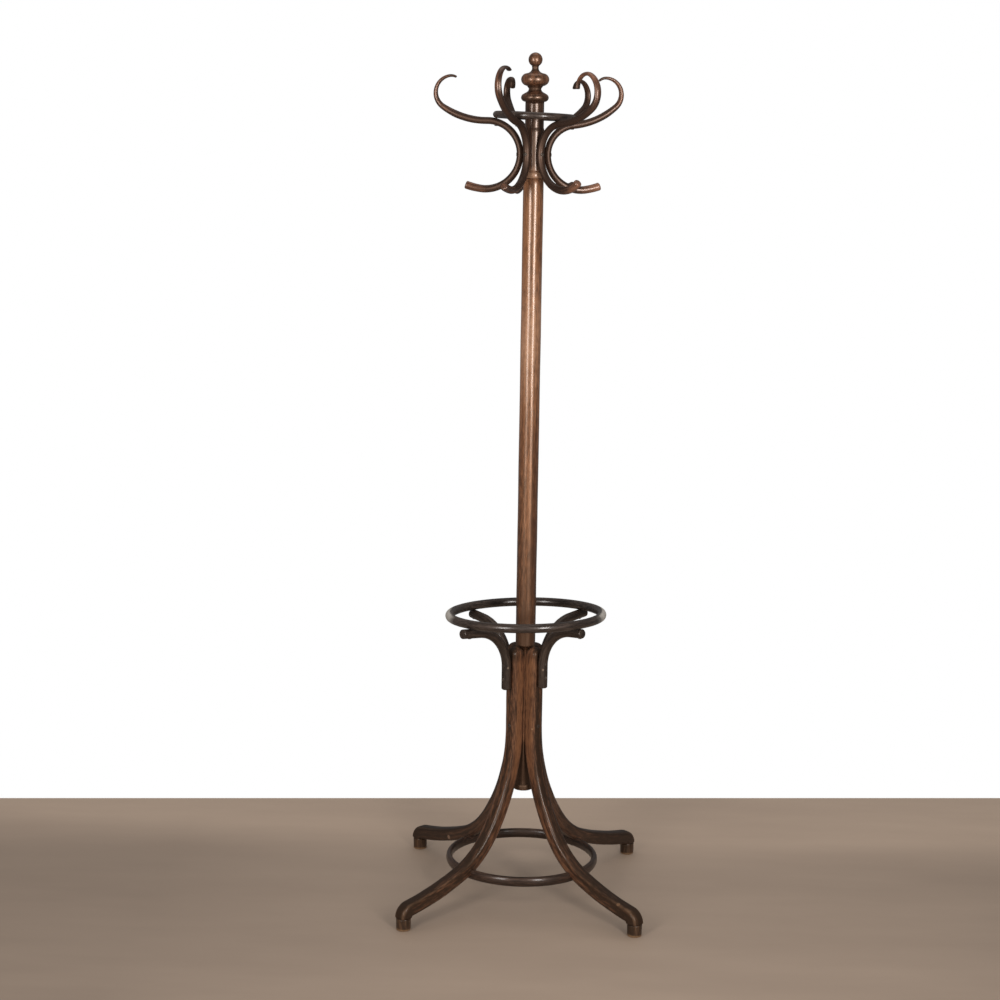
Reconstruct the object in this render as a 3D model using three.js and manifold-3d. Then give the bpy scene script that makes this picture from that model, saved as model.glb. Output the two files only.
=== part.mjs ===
// A revolving hat, coat and umbrella stand of steam-bent and turned beech.
//
// Millimetres, +Z up. The origin is on the floor, under the middle of the pole. Four bent legs
// are screwed to flats on the foot of a round pole and stand on turned feet. A ring is let into
// their undersides, and four brackets on their outer faces carry the umbrella ring. The crown is
// a hub with six S-shaped hooks, a ring that ties them and a turned finial, and it turns on a
// steel pin in the top of the pole.

import * as THREE from 'three';
import { mergeVertices } from 'three/addons/utils/BufferGeometryUtils.js';
import Module from 'manifold-3d';

const wasm = await Module();
wasm.setup();

// ---------------------------------------------------------------- driving dimensions

const GAP = 0.3;                       // clearance between two pieces that meet

const POLE_RADIUS = 23.5;
const POLE_BOTTOM = 259;               // height of the pole's lower end over the floor
const POLE_LENGTH = 1458.7;
const POLE_CHAMFER = 2;
const POLE_FLAT = 16.5;                // distance from the axis to a leg's flat
const POLE_END = 14;                   // the round stretch left at its lower end, under the flats

const LEG_WIDTH = 33;
const LEG_DEPTH = 33;
const LEG_CORNER = 9;
const LEG_TOP = 617;
const LEG_DOME = 17;                   // height of the rounded top of a leg
const LEG_SWEEP = [[430, 36.7], [207, 31.6], [709, 13.1]];   // radius and turn of each bend
const KNEE_RADIUS = 18;

const FOOT_CIRCLE = 378;               // radius of the circle that the feet stand on
const FOOT_HEIGHT = 29;
const FOOT_TOP_RADIUS = 17.5;
const FOOT_BOTTOM_RADIUS = 16.8;
const FOOT_EDGE = 1.5;
const SPIGOT_RADIUS = 6;
const SPIGOT_LENGTH = 16;

const BASE_RING_RADIUS = 176.5;
const BASE_RING_THICKNESS = 15;
const BASE_RING_DEPTH = 24;
const BASE_RING_LET_IN = 11;           // depth of the ring's seat in a leg
const BASE_RING_SLOPE = 1.2;           // degrees, the ring's front edge higher than its back

const BRACKET_ROD = 11.2;
const BRACKET_DROP = 104;              // from the top of a leg down to the bracket's lower end
const BRACKET_RISE = 51.5;             // from the top of a leg up to the arm, under the ring
const BRACKET_BEND = 99;
const BRACKET_SLOPE = 6.5;             // degrees that an arm rises towards its end
const BRACKET_END_ROUND = 4;
// Each arm's end beyond the middle of the umbrella ring: no two were sawn to one length.
const BRACKET_OVERHANGS = { back_right: 21, back_left: 10, front_left: 23, front_right: 8 };

const UMBRELLA_RING_RADIUS = 181.5;
const UMBRELLA_RING_ROD = 10.6;
const UMBRELLA_RING_SLOPE = 3.4;       // degrees, the ring's front edge higher than its back
const UMBRELLA_RING_SIDE_SLOPE = 1.4;  // degrees, its +X edge higher than the other

const HUB_RADIUS = 23.6;
const HUB_NECK_RADIUS = 21.5;
const HUB_LENGTH = 171;
const HUB_SHOULDER = 104;              // where the hub narrows, above its lower end
const HUB_BEAD = 15;                   // height of the bead at the swivel joint
const HUB_GROOVE = 2.6;
const PIN_RADIUS = 6;
const PIN_IN_POLE = 60;
const PIN_IN_HUB = 42;

const HOOK_WIDTH = 17;
const HOOK_WAIST = 54;                 // height of a hook's waist over the hub's lower end
const HOOK_WAIST_DEPTH = 15.4;
const HOOK_END_DEPTH = 18.4;
const HOOK_ARM_DEPTH = 16.2;
const HOOK_CURL_DEPTH = 10.4;
const HOOK_TIP_DEPTH = 5.4;
const HOOK_TIP_WIDTH = 12.5;
const HOOK_END_ROUND = 3;
const HOOK_LOWER = [[79, 98], [170, 12]];            // radius and turn of each bend, down
const HOOK_ARM = [176, 35];
// The six hooks, no two bent quite alike: where each waist is on the hub, how far the hook is
// turned on its screw, how far its shoulder is bent over, and the radius and turn of its curl and
// its tip, in millimetres and degrees. Two have a lower end of their own, one of them cut short.
const HOOKS = [
  { azimuth: 0, twist: 13, shoulder: 84, curl: [37, 139], tip: [22, 47] },
  { azimuth: 60, twist: -8, shoulder: 85, curl: [35, 118], tip: [22, 104] },
  { azimuth: 120, twist: -10, shoulder: 77, curl: [30, 131], tip: [14, 130], lower: [[84, 82]] },
  { azimuth: 180, twist: -1, shoulder: 91, curl: [38, 136], tip: [23, 41] },
  { azimuth: 240, twist: 7, shoulder: 78, curl: [39, 145], tip: [25, 30] },
  { azimuth: 300, twist: 12, shoulder: 89, curl: [42, 117], tip: [29, 125],
    lower: [[79, 98], [70, 36]] },
];

const CROWN_RING_RADIUS = 87;
const CROWN_RING_ROD = 8;
const CROWN_RING_RISE = 86;            // the ring's middle, over the waists of the hooks
const CROWN_RING_SLOPE = 2;            // degrees, the ring's +X edge lower than the other

// Heights on the finial are over its foot.
const FINIAL_FOOT_RADIUS = 22;
const FINIAL_FLANGE_RADIUS = 31.5;
const FINIAL_FLANGE_HEIGHT = 10.2;
const FINIAL_COVE_RADIUS = 14.2;
const FINIAL_COVE_HEIGHT = 30;
const FINIAL_BULB_RADIUS = 32;
const FINIAL_BULB_HEIGHT = 50.5;
const FINIAL_NECK_RADIUS = 7.4;
const FINIAL_NECK_HEIGHT = 76;
const FINIAL_BALL_RADIUS = 16;
const FINIAL_BALL_HEIGHT = 94.7;
const FINIAL_SPIGOT_RADIUS = 7;
const FINIAL_SPIGOT_LENGTH = 28;

const SCREW_SHANK = 2;
const SCREW_HEAD = 4.6;
const SCREW_HEAD_DEPTH = 2.6;
const SCREW_DOME = 1.3;
const SCREW_BITE = 9;                  // how far a ring's screws reach into the second piece
const POLE_BITE = 11;                  // how far the leg and bracket screws reach into the pole
const HUB_BITE = 11;

const LEG_SCREW_DROP = 192;            // from the top of a leg down to its screw
const BRACKET_LOWER_SCREW = 26;        // from a bracket's lower end up to its first screw
const BRACKET_UPPER_SCREW = 58;        // and to its second

// How finely the round shapes are faceted.
const BEND_STEP = 16;                  // degrees of a bend from one section to the next
const ROD_SIDES = 8;
const HOOP_STEPS = 40;
const HOOP_SIDES = 8;
const POST_SIDES = 20;
const FOOT_SIDES = 14;
const PIN_SIDES = 12;
const SCREW_SIDES = 6;

// ---------------------------------------------------------------- materials

const colours = {
  pole: new THREE.Color(0.21, 0.095, 0.05),
  dark: new THREE.Color(0.085, 0.048, 0.036),
  foot: new THREE.Color(0.16, 0.09, 0.05),
  steel: new THREE.Color(0.2, 0.18, 0.16),
};

function polished(colour) {
  return new THREE.MeshStandardMaterial({ color: colour, roughness: 0.35, metalness: 0 });
}

function metal(colour) {
  return new THREE.MeshStandardMaterial({ color: colour, roughness: 0.4, metalness: 1 });
}

// ---------------------------------------------------------------- shapes shared by the pieces

const radians = THREE.MathUtils.degToRad;

// A line bent from arcs and straights in the x-z plane. Each bend is a radius and a turn in
// degrees, to the left where the turn is positive; a stretch without one is { straight: length }.
function bentLine(start, heading, bends) {
  const line = new THREE.CurvePath();
  const at = start.clone();
  let angle = radians(heading);
  for (const bend of bends) {
    const forward = new THREE.Vector2(Math.cos(angle), Math.sin(angle));
    if (bend.straight) {
      const next = at.clone().addScaledVector(forward, bend.straight);
      line.add(new THREE.LineCurve(at.clone(), next));
      at.copy(next);
      continue;
    }
    const [radius, degrees] = bend;
    const side = Math.sign(degrees);
    const centre = new THREE.Vector2(at.x - forward.y * radius * side, at.y + forward.x * radius * side);
    const from = angle - side * Math.PI / 2;
    const to = from + radians(degrees);
    line.add(new THREE.EllipseCurve(centre.x, centre.y, radius, radius, from, to, side < 0));
    at.set(centre.x + Math.cos(to) * radius, centre.y + Math.sin(to) * radius);
    angle += radians(degrees);
  }
  return { line, end: at, heading: THREE.MathUtils.radToDeg(angle) };
}

// The same bends walked the other way.
function reversed(bends) {
  return bends.map(([radius, degrees]) => [radius, -degrees]).reverse();
}

function evenly(from, to, count) {
  return Array.from({ length: count + 1 }, (_, i) => from + (to - from) * i / count);
}

function ovalSection(width, depth, sides) {
  return evenly(0, 2 * Math.PI, sides).slice(0, -1)
    .map((angle) => [width / 2 * Math.cos(angle), depth / 2 * Math.sin(angle)]);
}

function roundedSection(width, depth, corner, perCorner) {
  const points = [];
  for (let quarter = 0; quarter < 4; quarter += 1) {
    const turn = quarter * Math.PI / 2;
    const across = (width / 2 - corner) * Math.sign(Math.cos(turn + Math.PI / 4));
    const outward = (depth / 2 - corner) * Math.sign(Math.sin(turn + Math.PI / 4));
    for (const angle of evenly(turn, turn + Math.PI / 2, perCorner)) {
      points.push([across + corner * Math.cos(angle), outward + corner * Math.sin(angle)]);
    }
  }
  return points;
}

// A closed skin over a row of rings, each with the same number of points.
function loft(rings) {
  const count = rings[0].length;
  const points = rings.flat();
  const faces = [];
  for (let i = 0; i + 1 < rings.length; i += 1) {
    for (let j = 0; j < count; j += 1) {
      const a = i * count + j;
      const b = i * count + (j + 1) % count;
      faces.push(a, b, a + count, b, b + count, a + count);
    }
  }
  const last = (rings.length - 1) * count;
  for (let j = 1; j + 1 < count; j += 1) {
    faces.push(0, j + 1, j);
    faces.push(last, last + j, last + j + 1);
  }
  const geometry = new THREE.BufferGeometry().setFromPoints(points);
  geometry.setIndex(faces);
  return geometry;
}

// A rod bent along a line in the x-z plane. The section at each station is a list of points
// across the rod (along y) and to the left of the way the line runs.
function bentRod(line, stations, sectionAt) {
  return loft(stations.map((station) => {
    const middle = line.getPointAt(station);
    const along = line.getTangentAt(station);
    return sectionAt(station).map(([across, left]) => new THREE.Vector3(
      middle.x - along.y * left, across, middle.y + along.x * left));
  }));
}

// Stations along a bent line, as parts of its length: the ends of its straights, and steps of
// no more than BEND_STEP round its bends.
function bendStations(line) {
  const ends = line.getCurveLengths();
  const total = ends[ends.length - 1];
  return line.curves.flatMap((curve, i) => {
    const turn = THREE.MathUtils.radToDeg(Math.abs(curve.aEndAngle - curve.aStartAngle)) || 0;
    const count = Math.max(1, Math.ceil(turn / BEND_STEP));
    return evenly(i ? ends[i - 1] / total : 0, ends[i] / total, count).slice(i ? 1 : 0);
  });
}

// The same stations with a few more near each end that is rounded over a given length.
function roundedStations(line, startRound, endRound) {
  const length = line.getLength();
  const near = (round, parts) => parts.map((part) => part * round / length);
  const start = near(startRound, [0, 0.3, 1]);
  const end = near(endRound, [0, 0.3, 1]).map((part) => 1 - part).reverse();
  const clear = (station) => station > start[2] + 0.01 && station < end[0] - 0.01;
  return [...start, ...bendStations(line).filter(clear), ...end];
}

// How much a rod narrows at a distance from its rounded end.
function roundOff(distance, length) {
  const left = Math.max(0, 1 - distance / length);
  return Math.sqrt(Math.max(0.04, 1 - left * left));
}

function turned(profile, sides) {
  const points = profile.map(([radius, height]) => new THREE.Vector2(radius, height));
  return new THREE.LatheGeometry(points, sides).rotateX(Math.PI / 2);
}

// A rod bent to a hoop. Its section is an oval where its depth isn't its thickness.
function hoop(radius, thickness, depth = thickness) {
  return new THREE.TorusGeometry(radius, thickness / 2, HOOP_SIDES, HOOP_STEPS)
    .scale(1, 1, depth / thickness);
}

// How far a ring that slopes up to the front, and maybe to +X, is above its middle, on a bearing
// from the axis.
function ringLift(azimuth, radius, slope, sideSlope = 0) {
  const turn = radians(azimuth);
  return radius * (Math.cos(turn) * Math.tan(radians(sideSlope))
    - Math.sin(turn) * Math.tan(radians(slope)));
}

function solid(geometry) {
  const plain = geometry.clone();
  plain.deleteAttribute('normal');
  plain.deleteAttribute('uv');
  const merged = mergeVertices(plain, 1e-4);
  return new wasm.Manifold(new wasm.Mesh({
    numProp: 3,
    vertProperties: new Float32Array(merged.attributes.position.array),
    triVerts: new Uint32Array(merged.index.array),
  }));
}

function cut(geometry, cutters) {
  let body = solid(geometry);
  for (const cutter of cutters) {
    body = body.subtract(solid(cutter));
  }
  const mesh = body.getMesh();
  const result = new THREE.BufferGeometry();
  result.setAttribute('position', new THREE.BufferAttribute(mesh.vertProperties, 3));
  result.setIndex(new THREE.BufferAttribute(mesh.triVerts, 1));
  return result;
}

function piece(name, geometry, material) {
  geometry.computeVertexNormals();
  const mesh = new THREE.Mesh(geometry, material);
  mesh.name = name;
  return mesh;
}

// The point where a bent line crosses a distance from the pole's axis, and its slope there.
function crossing(line, isBeyond) {
  let low = 0;
  let high = 1;
  for (let i = 0; i < 40; i += 1) {
    const middle = (low + high) / 2;
    if (isBeyond(line.getPointAt(middle))) {
      high = middle;
    } else {
      low = middle;
    }
  }
  const along = line.getTangentAt(low);
  return { at: line.getPointAt(low), slope: Math.atan2(along.y, along.x), station: low };
}

// ---------------------------------------------------------------- screws

// A wood screw with a raised countersunk head. Its axis runs along +Z, out through the head,
// and the origin is at the rim of the head.
function screwGeometry(length, clearance = 0) {
  const shank = SCREW_SHANK + clearance;
  const head = SCREW_HEAD + clearance;
  return turned([
    [0, -length - clearance],
    [shank, -length + SCREW_SHANK - clearance],
    [shank, -SCREW_HEAD_DEPTH - clearance],
    [head, -clearance],
    ...(clearance ? [[head, SCREW_HEAD], [0, SCREW_HEAD]]
      : [[SCREW_HEAD * 0.6, SCREW_DOME * 0.8], [0, SCREW_DOME]]),
  ], SCREW_SIDES);
}

// Where a screw goes: the rim of its head, the way out through the head, and its length.
function screwPlace(rim, outward, length) {
  const turn = new THREE.Quaternion().setFromUnitVectors(new THREE.Vector3(0, 0, 1), outward);
  return { length, matrix: new THREE.Matrix4().compose(rim, turn, new THREE.Vector3(1, 1, 1)) };
}

function screwHole(place) {
  return screwGeometry(place.length, GAP).applyMatrix4(place.matrix);
}

function screw(name, place) {
  return piece(name, screwGeometry(place.length).applyMatrix4(place.matrix), metal(colours.steel));
}

function radialScrew(radius, height, length) {
  return screwPlace(new THREE.Vector3(radius, 0, height), new THREE.Vector3(1, 0, 0), length);
}

// ---------------------------------------------------------------- legs, feet and their ring

const CORNERS = { back_right: 45, back_left: 135, front_left: 225, front_right: 315 };
const LEG_RADIUS = POLE_FLAT + GAP + LEG_DEPTH / 2;
const LEG_FACE = POLE_FLAT + GAP + LEG_DEPTH;

function turnedAbout(geometry, degrees) {
  return geometry.clone().rotateZ(radians(degrees));
}

// The leg falls straight along the pole and sweeps out, its bends scaled so that the knee comes
// down over the foot.
function legLine() {
  const total = LEG_SWEEP.reduce((sum, [, degrees]) => sum + degrees, 0);
  const knee = KNEE_RADIUS * (1 - Math.cos(radians(total)));
  const drop = KNEE_RADIUS * Math.sin(radians(total));
  const sweep = bentLine(new THREE.Vector2(), -90, LEG_SWEEP).end;
  const scale = (FOOT_CIRCLE - LEG_RADIUS - knee) / sweep.x;
  const straight = LEG_TOP - FOOT_HEIGHT - drop + sweep.y * scale;
  return bentLine(new THREE.Vector2(LEG_RADIUS, LEG_TOP), -90, [
    { straight },
    ...LEG_SWEEP.map(([radius, degrees]) => [radius * scale, degrees]),
    [KNEE_RADIUS, -total],
  ]).line;
}

const LEG_LINE = legLine();

// The base ring lies against the underside of the legs, let into them.
function baseRingHeight() {
  const { at, slope } = crossing(LEG_LINE, (point) => point.x > BASE_RING_RADIUS);
  return at.y - (LEG_DEPTH / 2 + BASE_RING_DEPTH / 2 - BASE_RING_LET_IN) / Math.cos(slope);
}

const BASE_RING_HEIGHT = baseRingHeight();

function legStations() {
  const length = LEG_LINE.getLength();
  const dome = [0, 0.08, 0.3, 0.6, 1].map((part) => part * LEG_DOME / length);
  return [...dome, ...bendStations(LEG_LINE).slice(1)];
}

function legGeometry() {
  const length = LEG_LINE.getLength();
  return bentRod(LEG_LINE, legStations(), (station) => {
    const size = roundOff(station * length, LEG_DOME);
    return roundedSection(LEG_WIDTH * size, LEG_DEPTH * size, LEG_CORNER * size, 2);
  });
}

function footProfile(clearance = 0) {
  return [
    [0, 0],
    [FOOT_BOTTOM_RADIUS - FOOT_EDGE, 0],
    [FOOT_BOTTOM_RADIUS, FOOT_EDGE],
    [FOOT_TOP_RADIUS, FOOT_HEIGHT - GAP - FOOT_EDGE],
    [FOOT_TOP_RADIUS - FOOT_EDGE, FOOT_HEIGHT - GAP],
    [SPIGOT_RADIUS + clearance, FOOT_HEIGHT - GAP],
    [SPIGOT_RADIUS + clearance, FOOT_HEIGHT + SPIGOT_LENGTH + clearance],
    [0, FOOT_HEIGHT + SPIGOT_LENGTH + clearance],
  ];
}

function footGeometry(clearance = 0) {
  return turned(footProfile(clearance), FOOT_SIDES).translate(FOOT_CIRCLE, 0, 0);
}

function baseRingGeometry(clearance = 0) {
  return hoop(BASE_RING_RADIUS, BASE_RING_THICKNESS + 2 * clearance, BASE_RING_DEPTH + 2 * clearance)
    .rotateX(radians(-BASE_RING_SLOPE))
    .translate(0, 0, BASE_RING_HEIGHT);
}

const LEG_SCREW = radialScrew(LEG_FACE, LEG_TOP - LEG_SCREW_DROP, LEG_DEPTH + POLE_BITE);

// Up through the ring into a leg, its head sunk halfway.
function baseRingScrew(azimuth) {
  const middle = BASE_RING_HEIGHT + ringLift(azimuth, BASE_RING_RADIUS, BASE_RING_SLOPE);
  const rim = middle - BASE_RING_DEPTH / 2 + SCREW_HEAD_DEPTH / 2;
  return screwPlace(new THREE.Vector3(BASE_RING_RADIUS, 0, rim), new THREE.Vector3(0, 0, -1),
    BASE_RING_DEPTH + SCREW_BITE);
}

// ---------------------------------------------------------------- brackets and umbrella ring

const BRACKET_RADIUS = LEG_FACE + GAP + BRACKET_ROD;
const ARM_SLOPE = radians(BRACKET_SLOPE);
const ARM_REACH = UMBRELLA_RING_RADIUS - BRACKET_RADIUS - BRACKET_BEND * (1 - Math.sin(ARM_SLOPE));
const UMBRELLA_RING_HEIGHT = LEG_TOP + BRACKET_RISE
  + (BRACKET_ROD + GAP + UMBRELLA_RING_ROD) / Math.cos(ARM_SLOPE);

function umbrellaLift(azimuth) {
  return ringLift(azimuth, UMBRELLA_RING_RADIUS, UMBRELLA_RING_SLOPE, UMBRELLA_RING_SIDE_SLOPE);
}

function bracketBottom(lift) {
  return LEG_TOP - BRACKET_DROP + lift;
}

// Where a bracket stops running up its leg and bends over to its arm.
function bracketBendStart(lift) {
  return LEG_TOP + BRACKET_RISE + lift
    - ARM_REACH * Math.tan(ARM_SLOPE) - BRACKET_BEND * Math.cos(ARM_SLOPE);
}

function bracketLine(lift, overhang) {
  const bottom = bracketBottom(lift);
  return bentLine(new THREE.Vector2(BRACKET_RADIUS, bottom), 90, [
    { straight: bracketBendStart(lift) - bottom },
    [BRACKET_BEND, BRACKET_SLOPE - 90],
    { straight: (ARM_REACH + overhang) / Math.cos(ARM_SLOPE) },
  ]).line;
}

function bracketGeometry(lift, overhang) {
  const line = bracketLine(lift, overhang);
  const stations = roundedStations(line, BRACKET_END_ROUND, BRACKET_END_ROUND);
  return bentRod(line, stations, (station) => {
    const distance = Math.min(station, 1 - station) * line.getLength();
    const size = 0.72 + 0.28 * roundOff(distance, BRACKET_END_ROUND);
    return ovalSection(2 * BRACKET_ROD * size, 2 * BRACKET_ROD * size, ROD_SIDES);
  });
}

function umbrellaRingGeometry() {
  return hoop(UMBRELLA_RING_RADIUS, 2 * UMBRELLA_RING_ROD)
    .rotateX(radians(-UMBRELLA_RING_SLOPE))
    .rotateY(radians(-UMBRELLA_RING_SIDE_SLOPE))
    .translate(0, 0, UMBRELLA_RING_HEIGHT);
}

function bracketScrews(lift) {
  const depth = 2 * BRACKET_ROD + LEG_DEPTH + POLE_BITE;
  return [BRACKET_LOWER_SCREW, BRACKET_UPPER_SCREW].map((rise) => {
    const height = bracketBottom(lift) + rise;
    return radialScrew(BRACKET_RADIUS + bracketOffset(height, lift) + BRACKET_ROD, height, depth);
  });
}

// The bracket leaves the leg where its bend starts, so a screw above that starts further out.
function bracketOffset(height, lift) {
  const above = Math.max(0, height - bracketBendStart(lift));
  return BRACKET_BEND - Math.sqrt(BRACKET_BEND ** 2 - above ** 2);
}

function umbrellaScrew(lift) {
  const arm = LEG_TOP + BRACKET_RISE + lift;
  const rim = arm - BRACKET_ROD / Math.cos(ARM_SLOPE);
  return screwPlace(new THREE.Vector3(UMBRELLA_RING_RADIUS, 0, rim), new THREE.Vector3(0, 0, -1),
    2 * BRACKET_ROD + SCREW_BITE);
}

// ---------------------------------------------------------------- pole and pin

const POLE_TOP = POLE_BOTTOM + POLE_LENGTH;
const HUB_BOTTOM = POLE_TOP + GAP;

function pinGeometry(clearance = 0) {
  const radius = (PIN_RADIUS + clearance) / (clearance ? Math.cos(Math.PI / PIN_SIDES) : 1);
  const bottom = HUB_BOTTOM - PIN_IN_POLE - clearance;
  const top = HUB_BOTTOM + PIN_IN_HUB + clearance;
  return turned([[0, bottom], [radius, bottom], [radius, top], [0, top]], PIN_SIDES);
}

function poleGeometry() {
  const rod = turned([
    [0, POLE_BOTTOM],
    [POLE_RADIUS - POLE_CHAMFER, POLE_BOTTOM],
    [POLE_RADIUS, POLE_BOTTOM + POLE_CHAMFER],
    [POLE_RADIUS, POLE_TOP - POLE_CHAMFER],
    [POLE_RADIUS - POLE_CHAMFER, POLE_TOP],
    [0, POLE_TOP],
  ], POST_SIDES);
  const flatHeight = LEG_TOP + GAP - POLE_BOTTOM - POLE_END;
  const flat = new THREE.BoxGeometry(POLE_RADIUS, 2 * POLE_RADIUS, flatHeight);
  flat.translate(POLE_FLAT + POLE_RADIUS / 2, 0, LEG_TOP + GAP - flatHeight / 2);
  const cutters = [pinGeometry(GAP)];
  for (const azimuth of Object.values(CORNERS)) {
    const screws = [LEG_SCREW, ...bracketScrews(umbrellaLift(azimuth))];
    cutters.push(turnedAbout(flat, azimuth));
    cutters.push(...screws.map((place) => turnedAbout(screwHole(place), azimuth)));
  }
  return cut(rod, cutters);
}

// ---------------------------------------------------------------- crown

const WAIST_RADIUS = HUB_RADIUS + GAP + HOOK_WAIST_DEPTH / 2;
const WAIST_HEIGHT = HUB_BOTTOM + HOOK_WAIST;

// The hook's line, from its lower end up through the waist to the tip of its curl.
function hookLine({ shoulder, curl, tip, lower = HOOK_LOWER }, shoulderRadius) {
  const waist = new THREE.Vector2(WAIST_RADIUS, WAIST_HEIGHT);
  const { end, heading } = bentLine(waist, -90, lower);
  return bentLine(end, heading + 180, [
    ...reversed(lower),
    [shoulderRadius, -shoulder],
    HOOK_ARM,
    curl,
    tip,
  ]).line;
}

// Thickness of a hook along its length: full from the lower end to the arm, a little less at
// the waist, and drawn out through the curl to the tip.
function hookDepth(part) {
  return between([[0, HOOK_END_DEPTH], [0.34, HOOK_WAIST_DEPTH], [0.58, HOOK_ARM_DEPTH],
    [0.72, HOOK_ARM_DEPTH], [0.86, HOOK_CURL_DEPTH], [1, HOOK_TIP_DEPTH]], part);
}

function hookWidth(part) {
  return between([[0, HOOK_END_DEPTH], [0.34, HOOK_WIDTH], [0.8, HOOK_WIDTH],
    [1, HOOK_TIP_WIDTH]], part);
}

function between(stops, part) {
  const next = Math.max(1, stops.findIndex(([at]) => at >= part));
  const [from, low] = stops[next - 1];
  const [to, high] = stops[next];
  return low + (high - low) * (part - from) / (to - from);
}

// Moves a shape from the plane of a straight hook to that of one turned on its waist screw.
function twisted(shape, twist) {
  return shape.translate(-WAIST_RADIUS, 0, 0).rotateZ(radians(twist)).translate(WAIST_RADIUS, 0, 0);
}

function hookGeometry({ line, twist }) {
  const stations = roundedStations(line, HOOK_END_ROUND, HOOK_END_ROUND);
  const rod = bentRod(line, stations, (station) => {
    const distance = Math.min(station, 1 - station) * line.getLength();
    const size = 0.75 + 0.25 * roundOff(distance, HOOK_END_ROUND);
    return ovalSection(hookWidth(station) * size, hookDepth(station) * size, ROD_SIDES);
  });
  return twisted(rod, twist);
}

// How far a point of a hook's line is from the pole's axis and on which bearing, once the hook
// is turned on its waist screw and stands at its place on the hub.
function planOf(point, { azimuth, twist }) {
  const reach = point.x - WAIST_RADIUS;
  const out = new THREE.Vector2(WAIST_RADIUS, 0).rotateAround(new THREE.Vector2(), radians(azimuth));
  const arm = new THREE.Vector2(reach, 0).rotateAround(new THREE.Vector2(), radians(azimuth + twist));
  return out.add(arm);
}

function crownRingHeight(plan) {
  return WAIST_HEIGHT + CROWN_RING_RISE - plan.x * Math.tan(radians(CROWN_RING_SLOPE));
}

// Where a hook's arm passes under the crown ring.
function ringCrossing(hook, line) {
  const found = crossing(line, (point) => point.y > WAIST_HEIGHT
    && planOf(point, hook).length() > CROWN_RING_RADIUS);
  const half = hookDepth(found.station) / 2 / Math.cos(found.slope);
  const plan = planOf(found.at, hook);
  return { plan, top: found.at.y + half, bottom: found.at.y - half, height: crownRingHeight(plan) };
}

// Each shoulder is bent on the radius that brings the arm up under the crown ring.
function fittedHook(hook) {
  let small = 0.2 * CROWN_RING_RISE;
  let large = 2 * CROWN_RING_RISE;
  for (let i = 0; i < 30; i += 1) {
    const radius = (small + large) / 2;
    const { top, height } = ringCrossing(hook, hookLine(hook, radius));
    if (top + GAP + CROWN_RING_ROD > height) {
      large = radius;
    } else {
      small = radius;
    }
  }
  return { ...hook, line: hookLine(hook, small) };
}

const FITTED_HOOKS = HOOKS.map(fittedHook);

function crownRingScrew(hook) {
  const { plan, bottom, height } = ringCrossing(hook, hook.line);
  return screwPlace(new THREE.Vector3(plan.x, plan.y, bottom), new THREE.Vector3(0, 0, -1),
    height + CROWN_RING_ROD / 3 - bottom);
}

function crownRingGeometry() {
  return hoop(CROWN_RING_RADIUS, 2 * CROWN_RING_ROD)
    .rotateY(radians(CROWN_RING_SLOPE))
    .translate(0, 0, WAIST_HEIGHT + CROWN_RING_RISE);
}

const HOOK_SCREW = radialScrew(WAIST_RADIUS + HOOK_WAIST_DEPTH / 2, WAIST_HEIGHT,
  HOOK_WAIST_DEPTH + GAP + HUB_BITE);

const HUB_TOP = HUB_BOTTOM + HUB_LENGTH;

function hubGeometry() {
  const bead = evenly(0, Math.PI, 5).map((angle) => [
    HUB_RADIUS - HUB_GROOVE + HUB_GROOVE * 1.3 * Math.sin(angle),
    HUB_BOTTOM + HUB_BEAD * (1 - Math.cos(angle)) / 2,
  ]);
  const post = turned([
    [0, HUB_BOTTOM],
    ...bead,
    [HUB_RADIUS - HUB_GROOVE, HUB_BOTTOM + HUB_BEAD + 1],
    [HUB_RADIUS, HUB_BOTTOM + HUB_BEAD + 3],
    [HUB_RADIUS, HUB_BOTTOM + HUB_SHOULDER],
    [HUB_NECK_RADIUS, HUB_BOTTOM + HUB_SHOULDER + 10],
    [HUB_NECK_RADIUS, HUB_TOP],
    [0, HUB_TOP],
  ], POST_SIDES);
  const holes = HOOKS.map(({ azimuth }) => turnedAbout(screwHole(HOOK_SCREW), azimuth));
  return cut(post, [pinGeometry(GAP), finialGeometry(GAP), ...holes]);
}

// A round swelling or a hollow of the finial, as an arc of an oval about (radius, height).
function swell([radius, height], [wide, tall], [from, to], count) {
  return evenly(radians(from), radians(to), count)
    .map((angle) => [radius + wide * Math.cos(angle), height + tall * Math.sin(angle)]);
}

// Radius and height of the finial's turning, from its foot up to the ball.
function finialProfile() {
  const flange = [11, 9.6];
  const bulb = [16, 14.5];
  const cove = [12, 9.5];
  const neck = [15, 12];
  const ball = [FINIAL_BALL_RADIUS, FINIAL_BALL_RADIUS];
  return [
    [FINIAL_FOOT_RADIUS, 0],
    ...swell([FINIAL_FLANGE_RADIUS - flange[0], FINIAL_FLANGE_HEIGHT], flange, [-80, 62], 4),
    ...swell([FINIAL_COVE_RADIUS + cove[0], FINIAL_COVE_HEIGHT], cove, [238, 192], 2),
    ...swell([FINIAL_BULB_RADIUS - bulb[0], FINIAL_BULB_HEIGHT], bulb, [-78, 62], 6),
    ...swell([FINIAL_NECK_RADIUS + neck[0], FINIAL_NECK_HEIGHT], neck, [244, 184], 3),
    ...swell([0, FINIAL_BALL_HEIGHT], ball, [-58, 90], 6).slice(0, -1),
    [0, FINIAL_BALL_HEIGHT + FINIAL_BALL_RADIUS],
  ];
}

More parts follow.
